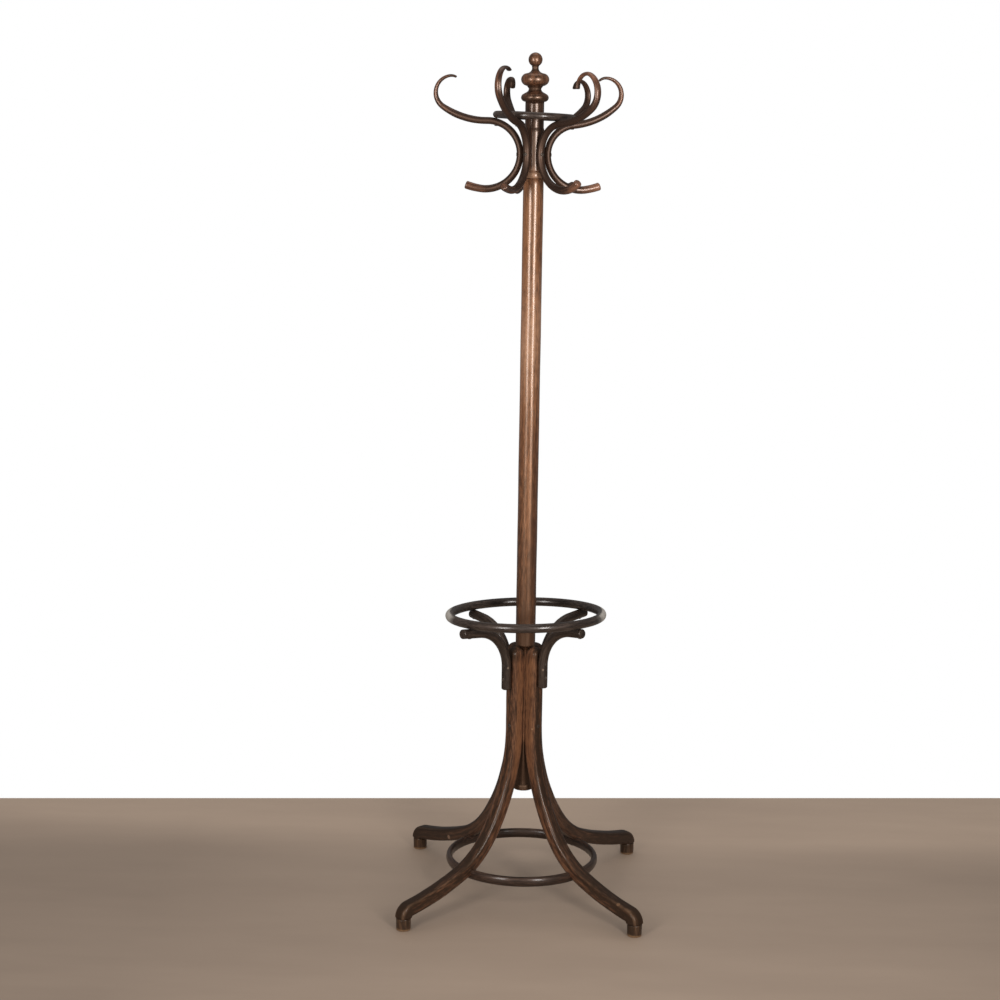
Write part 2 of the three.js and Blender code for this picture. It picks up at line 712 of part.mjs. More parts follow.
function finialGeometry(clearance = 0) {
  const seat = HUB_TOP + GAP;
  return turned([
    [0, HUB_TOP - FINIAL_SPIGOT_LENGTH - clearance],
    [FINIAL_SPIGOT_RADIUS + clearance, HUB_TOP - FINIAL_SPIGOT_LENGTH - clearance],
    [FINIAL_SPIGOT_RADIUS + clearance, seat],
    ...finialProfile().map(([radius, height]) => [radius, seat + height]),
  ], POST_SIDES);
}

// ---------------------------------------------------------------- assembly

const stand = new THREE.Group();

stand.add(piece('pole', poleGeometry(), polished(colours.pole)));
stand.add(piece('pivot_pin', pinGeometry(), metal(colours.steel)));
stand.add(piece('base_ring', cutRing(baseRingGeometry(), baseRingScrew), polished(colours.dark)));
stand.add(piece('umbrella_ring', cutRing(umbrellaRingGeometry(),
  (azimuth) => umbrellaScrew(umbrellaLift(azimuth))), polished(colours.dark)));

function cutRing(ring, screwAt) {
  return cut(ring, Object.values(CORNERS).map(
    (azimuth) => turnedAbout(screwHole(screwAt(azimuth)), azimuth)));
}

for (const [corner, azimuth] of Object.entries(CORNERS)) {
  const lift = umbrellaLift(azimuth);
  const [lowerScrew, upperScrew] = bracketScrews(lift);
  const armScrew = umbrellaScrew(lift);
  const ringScrew = baseRingScrew(azimuth);
  const side = new THREE.Group();
  side.rotation.z = radians(azimuth);
  side.add(piece(`leg_${corner}`, cut(legGeometry(), [
    turnedAbout(baseRingGeometry(GAP), -azimuth), footGeometry(GAP),
    ...[LEG_SCREW, ringScrew, lowerScrew, upperScrew].map(screwHole),
  ]), polished(colours.dark)));
  side.add(piece(`foot_${corner}`, footGeometry(), polished(colours.foot)));
  side.add(piece(`bracket_${corner}`, cut(bracketGeometry(lift, BRACKET_OVERHANGS[corner]),
    [lowerScrew, upperScrew, armScrew].map(screwHole)), polished(colours.dark)));
  side.add(screw(`leg_screw_${corner}`, LEG_SCREW));
  side.add(screw(`base_ring_screw_${corner}`, ringScrew));
  side.add(screw(`bracket_lower_screw_${corner}`, lowerScrew));
  side.add(screw(`bracket_upper_screw_${corner}`, upperScrew));
  side.add(screw(`umbrella_ring_screw_${corner}`, armScrew));
  stand.add(side);
}

stand.add(piece('crown_hub', hubGeometry(), polished(colours.pole)));
stand.add(piece('finial', finialGeometry(), polished(colours.pole)));
stand.add(piece('crown_ring', cut(crownRingGeometry(),
  FITTED_HOOKS.map((hook) => screwHole(crownRingScrew(hook)))), polished(colours.dark)));

FITTED_HOOKS.forEach((hook, index) => {
  const ringScrew = crownRingScrew(hook);
  const arm = turnedAbout(hookGeometry(hook), hook.azimuth);
  const waistHole = turnedAbout(screwHole(HOOK_SCREW), hook.azimuth);
  const waistScrew = screw(`hook_screw_${index + 1}`, HOOK_SCREW);
  waistScrew.rotation.z = radians(hook.azimuth);
  stand.add(piece(`hook_${index + 1}`, cut(arm, [waistHole, screwHole(ringScrew)]),
    polished(colours.dark)));
  stand.add(waistScrew);
  stand.add(screw(`crown_ring_screw_${index + 1}`, ringScrew));
});

export default stand;
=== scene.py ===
"""A revolving hat, coat and umbrella stand of bent and turned beech.

Metres, +Z up, with the floor at z = 0 and the pole on the Z axis. The sections follow the stand
as it is put together: pole, legs, feet, base ring, brackets, umbrella ring, the crown's hub,
hooks, ring and finial, the screws, and last the room around it.
"""

import math

import bpy
import numpy as np
from mathutils import Matrix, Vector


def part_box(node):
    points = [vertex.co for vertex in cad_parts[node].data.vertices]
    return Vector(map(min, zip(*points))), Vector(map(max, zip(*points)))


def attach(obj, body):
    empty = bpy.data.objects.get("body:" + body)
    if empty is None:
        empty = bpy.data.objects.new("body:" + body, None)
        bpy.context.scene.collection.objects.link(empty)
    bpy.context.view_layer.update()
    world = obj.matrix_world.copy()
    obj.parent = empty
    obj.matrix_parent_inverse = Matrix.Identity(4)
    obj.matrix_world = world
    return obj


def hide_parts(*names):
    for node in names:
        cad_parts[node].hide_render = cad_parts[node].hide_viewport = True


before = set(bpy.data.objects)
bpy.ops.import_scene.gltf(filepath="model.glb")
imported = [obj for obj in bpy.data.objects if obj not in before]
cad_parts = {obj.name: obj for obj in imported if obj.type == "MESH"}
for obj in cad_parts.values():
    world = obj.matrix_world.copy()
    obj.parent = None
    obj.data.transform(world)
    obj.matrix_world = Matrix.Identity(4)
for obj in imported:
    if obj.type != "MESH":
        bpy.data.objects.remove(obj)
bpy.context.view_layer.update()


# ------------------------------------------------------------------------------------------
# The pole: one long beech turning, 47 mm thick, polished reddish brown. Four flats are planed
# on its foot for the legs, and its lower end shows between them as a round stub.
# ------------------------------------------------------------------------------------------

class Wire:
    """A socket of a material's nodes, in a form that arithmetic works on."""

    def __init__(self, tree, socket=None):
        self.tree = tree
        self.socket = socket

    def make(self, kind, settings=None, values=None, output=0):
        """Adds a node: its settings first, then the values or links of its sockets."""
        node = self.tree.nodes.new(kind)
        for key, value in (settings or {}).items():
            if key == "stops":
                ramp = node.color_ramp.elements
                for index, (place, colour) in enumerate(value):
                    stop = ramp[index] if index < 2 else ramp.new(place)
                    stop.position = place
                    stop.color = (*colour, 1)
            else:
                setattr(node, key, value)
        for key, value in (values or {}).items():
            if isinstance(value, Wire):
                self.tree.links.new(value.socket, node.inputs[key])
            else:
                node.inputs[key].default_value = value
        return Wire(self.tree, node.outputs[output]) if node.outputs else node

    def maths(self, operation, *operands):
        return self.make("ShaderNodeMath", {"operation": operation}, dict(enumerate(operands)))

    def __add__(self, other):
        return self.maths("ADD", self, other)

    def __sub__(self, other):
        return self.maths("SUBTRACT", self, other)

    def __rsub__(self, other):
        return self.maths("SUBTRACT", other, self)

    def __mul__(self, other):
        return self.maths("MULTIPLY", self, other)

    __radd__ = __add__
    __rmul__ = __mul__

    def within(self, low, high):
        """0 below low, 1 above high, and a smooth rise between."""
        return self.make("ShaderNodeMapRange", {"interpolation_type": "SMOOTHSTEP"},
                         {"Value": self, "From Min": low, "From Max": high})

    def mix(self, first, second):
        """first where this is 0 and second where it is 1, as colours."""
        return self.make("ShaderNodeMix", {"data_type": "RGBA"},
                         {"Factor": self, "A": first, "B": second}, "Result")

    def stretched(self, stretch, detail=3, coarseness=0.5, distortion=0.0):
        """Noise over this vector, drawn out: stretch is the pattern's repeats per metre."""
        scaled = self.make("ShaderNodeVectorMath", {"operation": "MULTIPLY"},
                           {0: self, 1: stretch})
        return self.make("ShaderNodeTexNoise", {}, {
            "Vector": scaled, "Scale": 1.0, "Detail": detail, "Roughness": coarseness,
            "Distortion": distortion}, "Fac")


def bare_material(name):
    """A material with no nodes yet, and the wire that they are made from."""
    material = bpy.data.materials.new(name)
    material.use_nodes = True
    material.node_tree.nodes.clear()
    return material, Wire(material.node_tree)


def tint(red, green, blue):
    """A colour as light, from its values on a screen, 0 to 255."""
    return tuple(((c / 255 + 0.055) / 1.055) ** 2.4 for c in (red, green, blue))


def polished_wood(name, dark, body, light, worn, lustre=0.2, coat=0.5, matt=0.36, chips=()):
    """Old polish over beech. The colour runs in streaks and short flecks along the grain, from
    dark through body to light. It is rubbed through to worn where the piece is handled. Each
    point's darkness value, real dirt together with painted shade, darkens it, mars it where it
    is high and turns it near black where it is highest. The lustre is a broad glow in the wood,
    which matt spreads, and the coat is the clear polish over it, dull where it is rubbed and
    where the darkness value is high. Chips are places, each with a radius, where the polish is
    knocked off."""

    def shade(share):
        return (*(share * c for c in tint(*dark)), 1)

    material, wire = bare_material(name)
    grain = wire.make("ShaderNodeAttribute", {"attribute_name": "grain"}, output="Vector")
    rub = wire.make("ShaderNodeAttribute", {"attribute_name": "rub"}, output="Fac")
    grime_and_shade = wire.make("ShaderNodeAttribute", {"attribute_name": "grime_and_shade"}, output="Fac")
    place = wire.make("ShaderNodeTexCoord", output="Object")
    streak = grain.stretched((75, 75, 1.7), 6, 0.62, 0.5)     # long bands along the grain
    fibre = grain.stretched((340, 340, 42), 3, 0.62)          # the wood's short flecks
    pore = grain.stretched((1500, 900, 75), 2, 0.5)
    cloud = grain.stretched((22, 22, 5), 4, 0.55)             # uneven stain
    patch = place.stretched((9, 9, 6), 5, 0.6)                # uneven wear
    scuff = place.stretched((90, 90, 60), 5, 0.72)            # small knocks
    # Each point's darkness value darkens the tone here and drives the darker mixes below: real
    # dirt together with painted shade.
    tone = streak * 0.38 + fibre * 0.44 + cloud * 0.22 + 0.06 - grime_and_shade * 0.16
    base = wire.make("ShaderNodeValToRGB", {"stops": [      # the ramp's two ends, then its middle
        (0.455, tint(*dark)), (0.615, tint(*light)), (0.53, tint(*body))]},
        {"Fac": tone}, "Color")
    wear = (rub + patch * 0.55 + scuff * 0.35).within(0.86, 1.3)
    pores = pore.within(0.6, 0.72) * (1 - wear * 0.6)
    # These two follow the darkness values, so they paint shade as well as dirt; the second turns
    # the colour near black.
    spoilt_and_shaded = (grime_and_shade * 0.75 + patch * 0.6 + scuff * 0.25).within(0.72, 1.15)
    heavy_dirt_and_shade = grime_and_shade.within(0.9, 2.0)
    dull = (rub * 0.45 + grime_and_shade * 0.6 + patch * 0.6 + cloud * 0.3).within(0.6, 1.3)
    for centre, radius in chips:
        offset = wire.make("ShaderNodeVectorMath", {"operation": "DISTANCE"},
                           {0: place, 1: centre}, "Value")
        ragged = offset + scuff * radius - radius * 0.5
        wear = wear.maths("MAXIMUM", wear, 1 - ragged.within(0.75 * radius, radius))
    colour = wear.mix(base, (*tint(*worn), 1))
    colour = (pores * 0.55).mix(colour, shade(0.45))
    colour = (spoilt_and_shaded * 0.6).mix(colour, shade(0.6))
    colour = (heavy_dirt_and_shade * 0.8).mix(colour, shade(0.3))
    height = fibre * 0.12 + scuff * 0.08 - pores * 0.3 - wear * 0.1
    normal = wire.make("ShaderNodeBump", {}, {
        "Strength": 0.16, "Distance": 0.0003, "Height": height}, "Normal")
    glow = tuple((c / max(tint(*light))) ** 0.55 for c in tint(*light))
    shine = wire.make("ShaderNodeBsdfPrincipled", {}, {
        "Base Color": colour,
        "Roughness": matt + patch * 0.14 + scuff * 0.07 + wear * 0.12 + spoilt_and_shaded * 0.08 + heavy_dirt_and_shade * 0.2,
        "IOR": 1.9,
        "Specular IOR Level": lustre,
        "Specular Tint": (*glow, 1),
        "Coat Weight": coat * (1 - dull * 0.75) * (1 - heavy_dirt_and_shade * 0.8),
        "Coat Roughness": 0.2,
        "Coat IOR": 1.6,
        "Normal": normal}, "BSDF")
    wire.make("ShaderNodeOutputMaterial", {}, {"Surface": shine})
    return material


def surface(name, rows, grain, rub, grime_and_shade, endless=False):
    """A closed skin over rows of points. Each row is a ring; the first and last rows are single
    points unless the rows are endless, as round a hoop. Every point carries its place in the
    straight stick that the piece was made from, how rubbed it is, and its darkness value, which
    is real dirt together with painted shade. The faces are turned outwards, away from the middle
    of the points."""
    around = rows.shape[1]
    rub = np.broadcast_to(rub, rows.shape[:2])
    grime_and_shade = np.broadcast_to(grime_and_shade, rows.shape[:2])

    def merged(values):
        if endless:
            return values.reshape(-1, *values.shape[2:])
        middle = values[1:-1].reshape(-1, *values.shape[2:])
        return np.concatenate([values[:1, 0], middle, values[-1:, 0]])

    points = merged(rows)
    if endless:
        ring = np.arange(len(points)).reshape(-1, around)
        ring = np.concatenate([ring, ring[:1]])
    else:
        ring = 1 + np.arange(len(points) - 2).reshape(-1, around)
    after = np.roll(ring, -1, axis=1)
    quads = np.stack([ring[:-1], after[:-1], after[1:], ring[1:]], -1).reshape(-1, 4)
    first = np.zeros(0 if endless else around, int)
    last = first + len(points) - 1
    caps = np.concatenate([np.stack([first, after[0, :len(first)], ring[0, :len(first)]], -1),
                           np.stack([last, ring[-1, :len(last)], after[-1, :len(last)]], -1)])
    corners = points[quads]
    diagonals = np.cross(corners[:, 2] - corners[:, 0], corners[:, 3] - corners[:, 1])
    if np.sum(diagonals * (corners.mean(1) - points.mean(0))) < 0:
        quads, caps = quads[:, ::-1], caps[:, ::-1]
    mesh = bpy.data.meshes.new(name)
    mesh.from_pydata(points.tolist(), [], quads.tolist() + caps.tolist())
    for kind, form, key, values in (("grain", "FLOAT_VECTOR", "vector", grain),
                                    ("rub", "FLOAT", "value", rub),
                                    ("grime_and_shade", "FLOAT", "value", grime_and_shade)):
        mesh.attributes.new(kind, form, "POINT").data.foreach_set(
            key, merged(values).astype(np.float32).ravel())
    mesh.shade_smooth()
    piece = bpy.data.objects.new(name, mesh)
    bpy.context.scene.collection.objects.link(piece)
    return piece


def fit(piece, material, body, slot, *nodes):
    """Gives a finished piece its material, its body and the solids it stands for. The slot is not
    used.
    """
    piece.data.materials.append(material)
    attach(piece, body)
    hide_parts(*nodes)
    return piece


def ring_angles(count):
    """Angles at even steps once round."""
    return np.arange(count) / count * 2 * math.pi


def near(value, middle, width):
    """1 at the middle and falling away to nothing on both sides of it: e to the power of minus
    the square of the distance over the width."""
    return np.exp(-((value - middle) / width) ** 2)


def waver(along, around, seed, depth):
    """The slight unevenness of hand work, in metres: the mean of six waves, each the cosine of
    a slow turn along the piece plus a few whole turns round it."""
    rng = np.random.default_rng(seed)
    total = 0
    for _ in range(6):
        length = rng.uniform(0.05, 0.3)
        turns = rng.integers(0, 3)
        total = total + np.cos(2 * math.pi * along / length + turns * around + rng.uniform(0, 6))
    return depth * total / 6


def turned(radius, height, around=96):
    """A turning: the point at angle a and row i is (radius_i cos a, radius_i sin a, height_i)."""
    angle = ring_angles(around)
    radius = np.reshape(radius, (len(height), -1))
    height = np.reshape(height, (-1, 1))
    return np.stack([radius * np.cos(angle), radius * np.sin(angle),
                     height + 0 * radius * angle], -1)


def flatten(parts):
    """Profile points (radius, height) from single points and runs of points, as two rows."""
    return np.concatenate([np.reshape(part, (-1, 2)) for part in parts]).T


def run(radii, heights, count):
    """A straight run of profile points, evenly spaced, from the first of each pair to the last."""
    return np.stack([np.linspace(*radii, count), np.linspace(*heights, count)], -1)


pole_low, pole_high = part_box("pole")
pole_radius = pole_high.x
pole_top = pole_high.z
pole_flat = 0.0165                     # from the axis to a leg's flat
pole_end = 0.014                       # the round stub left under the flats
pole_rim = 0.002
leg_top = 0.617
hand_height = 1.33                     # where hands have rubbed the pole most
# The pole's darkness by height is painted shade: near black on the stub between the legs, dark
# just above the leg tops, and lighter going up to 1.25 m.
grime_and_shade_heights = (0.34, 0.39, leg_top - 0.02, leg_top, 0.66, 0.8, 1.05, 1.25)
grime_and_shade_there = (3, 0.2, 0.2, 1.1, 0.9, 0.6, 0.45, 0.1)


def pole_profile():
    """The pole from its foot up, as shares of its radius and heights."""
    foot, top = pole_low.z, pole_top
    turn = np.linspace(0, math.pi / 2, 5)
    low_rim = np.stack([1 - pole_rim / pole_radius * (1 - np.sin(turn)),
                        foot + pole_rim * (1 - np.cos(turn))], -1)
    top_rim = np.stack([np.linspace(0.98, 0.92, 4),
                        top - pole_rim * (1 - np.sin(np.linspace(0.3, math.pi / 2, 4)))], -1)
    return flatten([
        (0, foot), (0.4, foot), (0.8, foot), low_rim,
        (1, foot + 0.008), (1, foot + pole_end - 0.0002),
        run((1, 1), (foot + pole_end, leg_top), 28), (1, leg_top + 0.0003),
        run((1, 1), (leg_top + 0.003, top - pole_rim), 90), top_rim, (0.5, top), (0, top)])


# Where the flats are cut, the radius at angle a is flat / cos(a - the nearest flat's own angle),
# but never more than the pole's.
angle = ring_angles(128)
off_corner = np.abs((angle + math.pi / 4) % (math.pi / 2) - math.pi / 4)
off_flat = math.pi / 4 - off_corner
squared = np.minimum(pole_radius, pole_flat / np.cos(off_flat))
pole_size, pole_heights = pole_profile()
flattened = (pole_heights > pole_low.z + pole_end - 0.0001) & (pole_heights < leg_top + 0.0002)
pole_radii = np.where(flattened[:, None], squared, pole_radius) * pole_size[:, None]
pole_radii += waver(pole_heights[:, None], angle, 1, 0.00035) * (pole_size > 0.9)[:, None]
pole_rows = turned(pole_radii, pole_heights, 128)
pole_rub = 0.16 + 0.42 * near(pole_heights, hand_height, 0.3)[:, None]
# Painted shade: the pole made darker down towards the legs and on the stub between them.
pole_grime_and_shade = np.interp(pole_heights, grime_and_shade_heights, grime_and_shade_there)[:, None]
pole_finish = polished_wood("pole_polish", (66, 40, 26), (104, 66, 43), (140, 93, 62),
                            (178, 136, 108), lustre=0.55, coat=0.6, matt=0.26)
fit(surface("pole_turning", pole_rows, pole_rows, pole_rub, pole_grime_and_shade),
    pole_finish, "stand", "pole_wood", "pole")


# ------------------------------------------------------------------------------------------
# The legs: four beech sticks, 33 mm square with rounded edges, steam-bent on one form and
# screwed to the pole's flats, where their inner edges are left crisp and meet. Each top is
# carved to a dome, and each knee turns down on a foot.
# ------------------------------------------------------------------------------------------

corner_azimuths = {"back_right": 45, "back_left": 135, "front_left": 225, "front_right": 315}
gap = 0.0003                           # between pieces that meet
leg_half = 0.0165
leg_radius = pole_flat + gap + leg_half
leg_dome = 0.017
leg_sweep = [(0.430, 36.7), (0.207, 31.6), (0.709, 13.1)]    # radius and turn of each bend
knee_radius = 0.018
crisp_length = (0.18, 0.3)             # down a leg, where its inner edges round off again
foot_low, foot_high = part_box("foot_back_right")
foot_circle = math.hypot(foot_low.x + foot_high.x, foot_low.y + foot_high.y) / 2
foot_height = 0.029
leg_chips = [((0.2286, -0.2484, 0.0677), 0.006), ((0.020, -0.0417, 0.420), 0.003)]
back_leg_chips = [((-0.1872, 0.1651, 0.0677), 0.006)]


def bent_line(start, heading, bends, steps=2400):
    """A line bent in a plane: lengths, places and headings of its points. A bend is a radius
    and a turn in degrees, left where it is positive; radius 0 is a straight of that length. The
    heading grows evenly through a bend, and the place is the running sum of its direction."""
    lengths = [radius * abs(math.radians(turn)) if radius else turn for radius, turn in bends]
    turns = [math.radians(turn) if radius else 0 for radius, turn in bends]
    ends = np.concatenate([[0], np.cumsum(lengths)])
    headings = math.radians(heading) + np.concatenate([[0], np.cumsum(turns)])
    along = np.linspace(0, ends[-1], steps + 1)
    direction = np.interp(along, ends, headings)
    middle = (direction[1:] + direction[:-1]) / 2
    moves = along[1] * np.stack([np.cos(middle), np.sin(middle)], -1)
    places = np.asarray(start) + np.concatenate([[[0, 0]], np.cumsum(moves, 0)])
    return along, places, direction


def rounded_ends(length, first, second, count):
    """Stations along a rod and its size there. Each end is a flat with a quarter-round rim,
    given as the rim's depth along the rod and its share of the rod's half thickness."""
    turn = np.linspace(0, math.pi / 2, 10)

    def end(depth, share):
        flat = (1 - share) * np.array([0, 0.35, 0.7])
        stations = np.concatenate([0 * flat, depth * (1 - np.cos(turn))])
        return stations, np.concatenate([flat, 1 - share + share * np.sin(turn)])

    here, here_size = end(*first)
    there, there_size = end(*second)
    between = np.linspace(first[0], length - second[0], count)[1:-1]
    stations = np.concatenate([here, between, length - there[::-1]])
    return stations, np.concatenate([here_size, np.ones(count - 2), there_size[::-1]])


def bent_rod(line, stations, across, left):
    """A section carried along a bent line. across and left give the section's points at each
    station: across the line's plane, and to the left of the way it runs."""
    along, places, direction = line
    x, z = (np.interp(stations, along, places[:, axis])[:, None] for axis in (0, 1))
    heading = np.interp(stations, along, direction)[:, None]
    rows = np.stack([x - np.sin(heading) * left, across + 0 * x, z + np.cos(heading) * left], -1)
    return rows, np.stack([across + 0 * x, left + 0 * x, stations[:, None] + 0 * left], -1)


def turned_about(rows, degrees):
    """The rows turned about the Z axis."""
    cosine, sine = math.cos(math.radians(degrees)), math.sin(math.radians(degrees))
    x, y = rows[..., 0], rows[..., 1]
    return np.stack([x * cosine - y * sine, x * sine + y * cosine, rows[..., 2]], -1)


def leg_line():
    """Down along the pole, out in three bends scaled to the feet's circle, and down the knee."""
    total = sum(turn for _, turn in leg_sweep)
    knee_out = knee_radius * (1 - math.cos(math.radians(total)))
    knee_down = knee_radius * math.sin(math.radians(total))
    sweep = bent_line((0, 0), -90, leg_sweep)[1][-1]
    scale = (foot_circle - leg_radius - knee_out) / sweep[0]
    straight = leg_top - foot_height - knee_down + sweep[1] * scale
    bends = [(0, straight)] + [(radius * scale, turn) for radius, turn in leg_sweep]
    return bent_line((leg_radius, leg_top), -90, bends + [(knee_radius, -total)])


leg_path = leg_line()
leg_length = leg_path[0][-1]
leg_stations, leg_size = rounded_ends(leg_length, (leg_dome, 1.0), (0.0018, 0.11), 190)
angle = ring_angles(64)

# The section at angle a reaches half / (|cos a|^n + |sin a|^n)^(1/n) out. n is 4, and along the
# pole up to 12 on the inner side, where the edges of two legs meet.
crisp = np.interp(leg_stations, crisp_length, (1, 0))[:, None] * np.clip(-2 * np.sin(angle), 0, 1)
squareness = 4 + 8 * crisp
leg_outline = leg_half / (np.abs(np.cos(angle)) ** squareness
                          + np.abs(np.sin(angle)) ** squareness) ** (1 / squareness)

edge = np.abs(np.sin(2 * angle)) ** 6
side_face = np.abs(np.cos(angle)) ** 3
outward = np.clip(np.sin(angle), 0, 1)
down_leg = (leg_stations / leg_length)[:, None]
on_dome = np.exp(-(leg_stations[:, None] / 0.03) ** 4)
leg_rub = 0.1 + 0.3 * edge * (0.4 + 0.6 * down_leg) + 0.28 * down_leg ** 3 * outward
# Darkness on the legs: painted shade on the outward faces and painted light on the side faces,
# which are made lighter; the legs are also made darker towards the feet and on the domes.
leg_grime_and_shade = (0.3 + 0.3 * outward ** 2 - 0.5 * side_face * (1 - down_leg)
             + 0.45 * down_leg ** 2 + 0.5 * on_dome)
# The back legs get a darker copy of the front legs' polish: painted shade.
leg_finish = {
    "front": polished_wood("leg_polish", (36, 23, 15), (83, 53, 37), (117, 78, 52),
                           (132, 98, 72), lustre=0.2, coat=0.42, matt=0.4, chips=leg_chips),
    "back": polished_wood("back_leg_shaded_polish", (32, 21, 15), (54, 36, 26), (80, 54, 39),
                          (116, 90, 72), lustre=0.2, coat=0.4, chips=back_leg_chips),
}
for count, (corner, azimuth) in enumerate(corner_azimuths.items()):
    uneven = waver(leg_stations[:, None], angle, 10 + count, 0.0004)
    reach = leg_size[:, None] * (leg_outline + uneven)
    rows, grain = bent_rod(leg_path, leg_stations, reach * np.cos(angle), reach * np.sin(angle))
    grain = grain + np.array([0.3 * count, 0.1, 0])
    fit(surface(f"leg_{corner}_bent", turned_about(rows, azimuth), grain, leg_rub, leg_grime_and_shade),
        leg_finish[corner.split("_")[0]], "stand", "dark_wood", f"leg_{corner}")


# ------------------------------------------------------------------------------------------
# The feet: four short beech turnings, each with a spigot up into its leg's knee. The polish is
# scraped thin round the rim that meets the floor.
# ------------------------------------------------------------------------------------------

foot_top_radius = 0.0175
foot_bottom_radius = 0.0168
foot_rim = 0.0022
spigot_radius = 0.006
spigot_top = foot_high.z


def arc(centre, size, start, stop, count):
    """Points of an oval arc: centre plus size times (cos, sin) of an angle from start to stop."""
    turn = np.radians(np.linspace(start, stop, count))
    return np.stack([centre[0] + size[0] * np.cos(turn), centre[1] + size[1] * np.sin(turn)], -1)


def foot_profile():
    """A foot from the floor up: its rim, its side widening a little, its top and its spigot."""
    top = foot_height - gap
    side = np.linspace(foot_rim, top - foot_rim, 12)[1:-1]
    slope = (foot_top_radius - foot_bottom_radius) / (foot_height - 2 * foot_rim)
    rim = (foot_rim, foot_rim)
    return flatten([
        (0, 0), (0.006, 0), (0.012, 0),
        arc((foot_bottom_radius - foot_rim, foot_rim), rim, -90, 0, 7),
        np.stack([foot_bottom_radius + slope * (side - foot_rim), side], -1),
        arc((foot_top_radius - foot_rim, top - foot_rim), rim, 0, 90, 7),
        (spigot_radius + 0.002, top), (spigot_radius, top), (spigot_radius, spigot_top),
        (spigot_radius * 0.5, spigot_top), (0, spigot_top)])


foot_radii, foot_heights = foot_profile()
foot_finish = polished_wood("foot_polish", (36, 24, 16), (58, 40, 28), (84, 60, 42),
                            (120, 92, 66), lustre=0.2, coat=0.25)
foot_rows = turned(foot_radii, foot_heights, 72)
foot_rub = 0.25 + 0.6 * near(foot_heights, 0, 0.006)[:, None]
for count, (corner, azimuth) in enumerate(corner_azimuths.items()):
    placed = turned_about(foot_rows + np.array([foot_circle, 0, 0]), azimuth)
    fit(surface(f"foot_{corner}_turning", placed,
                foot_rows + np.array([0.2 * count, 0.4, 0]), foot_rub, 0.45),
        foot_finish, "stand", "foot_wood", f"foot_{corner}")


# ------------------------------------------------------------------------------------------
# The base ring: a beech strip, 15 mm thick and 24 mm deep with its edges rounded to an oval,
# bent to a hoop and let 11 mm into the undersides of the four legs, each with a screw up into it.
# ------------------------------------------------------------------------------------------

def hoop(ring_radius, half_thickness, half_depth, seed, steps=300):
    """A stick of oval section bent round to a hoop: the point at bearing b and section angle a
    is R + t cos a out from the axis and d sin a up, with t and d slightly uneven. Also gives
    the points' places in the stick, and the two angles."""
    bearing = ring_angles(steps)[:, None]
    angle = ring_angles(32)
    uneven = 1 + waver(0 * bearing, angle + 2 * bearing, seed, 0.02)
    uneven = uneven + 0.02 * np.cos(3 * bearing + seed) * np.cos(angle)
    across = half_thickness * uneven * np.cos(angle)
    up = half_depth * uneven * np.sin(angle)
    out = ring_radius + across
    rows = np.stack([out * np.cos(bearing), out * np.sin(bearing), up], -1)
    grain = np.stack([across + 0.02 * np.cos(bearing), up,
                      0.35 * np.sin(bearing) + 0 * angle], -1)
    return rows, grain, bearing, angle


def sloped(rows, front, side, height):
    """A level ring's rows tipped up at the front and at +X, by angles in degrees, and raised."""
    tip_front, tip_side = math.radians(-front), math.radians(-side)
    x, y, z = rows[..., 0], rows[..., 1], rows[..., 2]
    y, z = (y * math.cos(tip_front) - z * math.sin(tip_front),
            y * math.sin(tip_front) + z * math.cos(tip_front))
    x, z = (x * math.cos(tip_side) + z * math.sin(tip_side),
            z * math.cos(tip_side) - x * math.sin(tip_side))
    return np.stack([x, y, z + height], -1)


base_ring_radius = 0.1765              # to the middle of the strip
base_ring_thickness = 0.015
base_ring_depth = 0.024
base_ring_slope = 1.2                  # degrees, the ring's front edge higher than its back
base_ring_low, base_ring_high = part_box("base_ring")
base_ring_height = (base_ring_high.z + base_ring_low.z) / 2
ring_finish = polished_wood("ring_polish", (18, 12, 9), (34, 23, 17), (58, 41, 32),
                            (96, 76, 62), lustre=0.2, coat=0.4)
rows, grain, bearing, angle = hoop(base_ring_radius, base_ring_thickness / 2,
                                   base_ring_depth / 2, 21)
fit(surface("base_ring_hoop", sloped(rows, base_ring_slope, 0, base_ring_height), grain,
            0.2 + 0.25 * np.clip(np.sin(angle), 0, 1), 0.35, endless=True),
    ring_finish, "stand", "dark_wood", "base_ring")


# ------------------------------------------------------------------------------------------
# The brackets: four beech rods, 22 mm thick, each bent over and screwed through its leg into
# the pole. The arms rise a little under the umbrella ring, and no two are sawn to one length.
# ------------------------------------------------------------------------------------------

umbrella_radius = 0.1815               # to the middle of the rod
umbrella_rod = 0.0106                  # the rod's own radius
umbrella_slope = 3.4                   # degrees, the ring's front edge higher than its back
umbrella_side_slope = 1.4              # degrees, its +X edge higher than the other
bracket_rod = 0.0112                   # radius
bracket_bend = 0.099
bracket_drop = 0.104                   # from the top of a leg down to the bracket's lower end
bracket_rise = 0.0515                  # and up to the arm, under the ring
bracket_slope = 6.5                    # degrees that an arm rises towards its end
leg_face = pole_flat + gap + 2 * leg_half
bracket_radius = leg_face + gap + bracket_rod
overhangs = {                          # of the arms past the middle of the ring's rod
    "back_right": 0.021, "back_left": 0.010, "front_left": 0.023, "front_right": 0.008}
bracket_chips = [((0.0437, -0.0544, 0.570), 0.003), ((-0.0394, -0.0530, 0.5725), 0.003)]
arm_slope = math.radians(bracket_slope)
arm_reach = umbrella_radius - bracket_radius - bracket_bend * (1 - math.sin(arm_slope))
upright = (bracket_drop + bracket_rise
           - arm_reach * math.tan(arm_slope) - bracket_bend * math.cos(arm_slope))
bracket_finish = polished_wood("bracket_polish", (24, 17, 14), (42, 32, 26), (62, 49, 40),
                               (112, 94, 78), lustre=0.2, coat=0.5, chips=bracket_chips)
angle = ring_angles(40)
